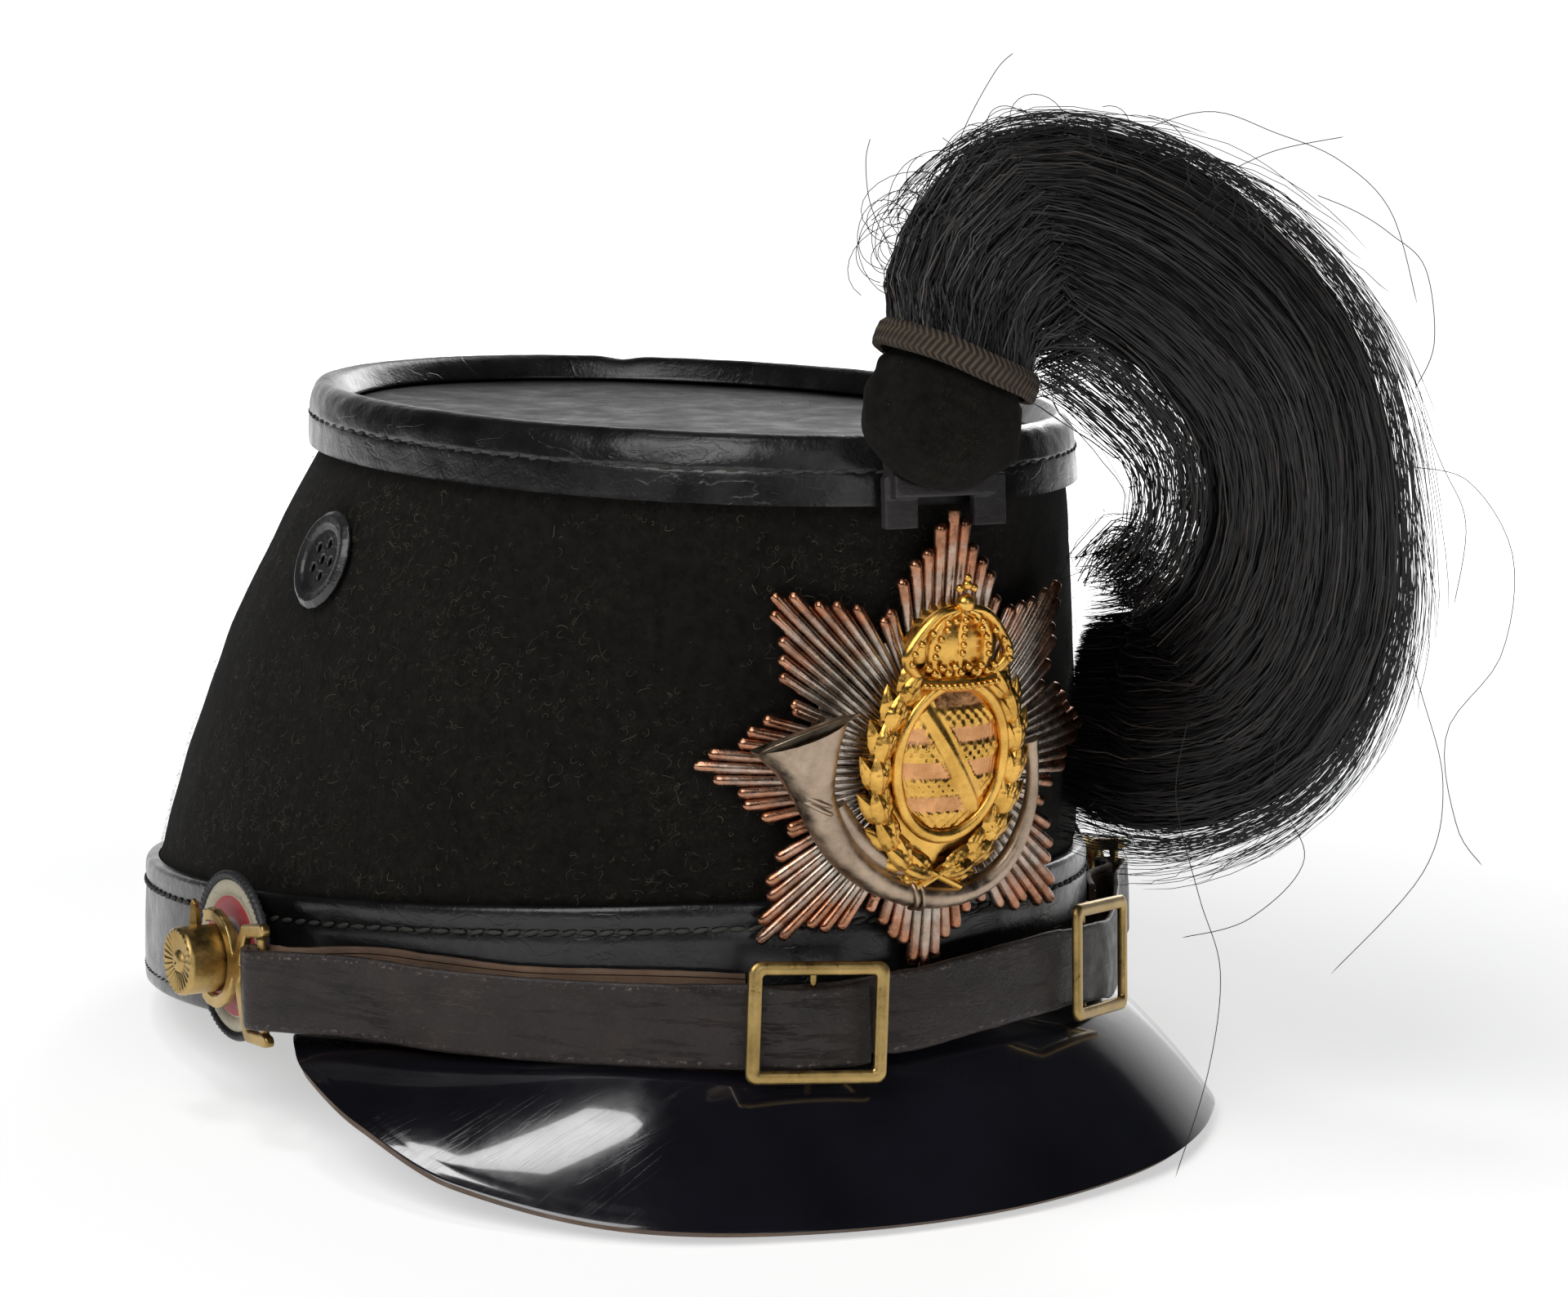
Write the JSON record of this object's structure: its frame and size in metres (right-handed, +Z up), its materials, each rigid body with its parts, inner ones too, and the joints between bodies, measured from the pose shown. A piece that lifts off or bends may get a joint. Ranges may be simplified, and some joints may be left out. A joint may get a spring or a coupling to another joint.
{
  "type": "plumed shako hat",
  "caption": "Stiff cloth shako with leather bands, glossy peak, buckled chin strap, metal star badge and a drooping horsehair plume.",
  "frame": {"origin": "centre of the bounding box at the surface that the hat rests on, under the back rim and the tip of the peak", "axes": "+Z up as the hat rests, -Y to its front, +X to the wearer's left; the head opening is tipped forward by 8 degrees"},
  "size_m": [0.1994, 0.2408, 0.1843],
  "materials": {
    "cloth": "matte black wool cloth with brown lint",
    "band_leather": "polished black leather",
    "crown_leather": "worn black leather",
    "patent_leather": "glossy patent leather",
    "strap_leather": "worn dark brown leather",
    "brass": "aged brass",
    "cockade_paint": "worn paint in rings of black, cream and red",
    "vent_paint": "black lacquer",
    "star_silver": "worn silver plate with copper showing",
    "horn_silver": "dull silver grey",
    "gilt_brass": "bright gilt",
    "socket_leather": "dark leather",
    "felt": "black felt",
    "braid": "brown woven braid",
    "horsehair": "black horsehair"
  },
  "bodies": {
    "root": {"body_shell": "cloth", "top_band": "band_leather", "top_disc": "crown_leather", "lower_band": "band_leather", "peak": "patent_leather", "strap_right": "strap_leather", "strap_left": "strap_leather", "buckle_right": "brass", "buckle_left": "brass", "cockade_right": "cockade_paint", "cockade_left": "cockade_paint", "post_right": "brass", "post_left": "brass", "lug_right": "brass", "lug_left": "brass", "vent_right": "vent_paint", "vent_left": "vent_paint", "star_plate": "star_silver", "horn": "horn_silver", "gilt_arms": "gilt_brass", "plume_socket": "socket_leather", "plume_holder": "felt", "plume_braid": "braid", "plume_hair": "horsehair"}
  },
  "joints": []
}
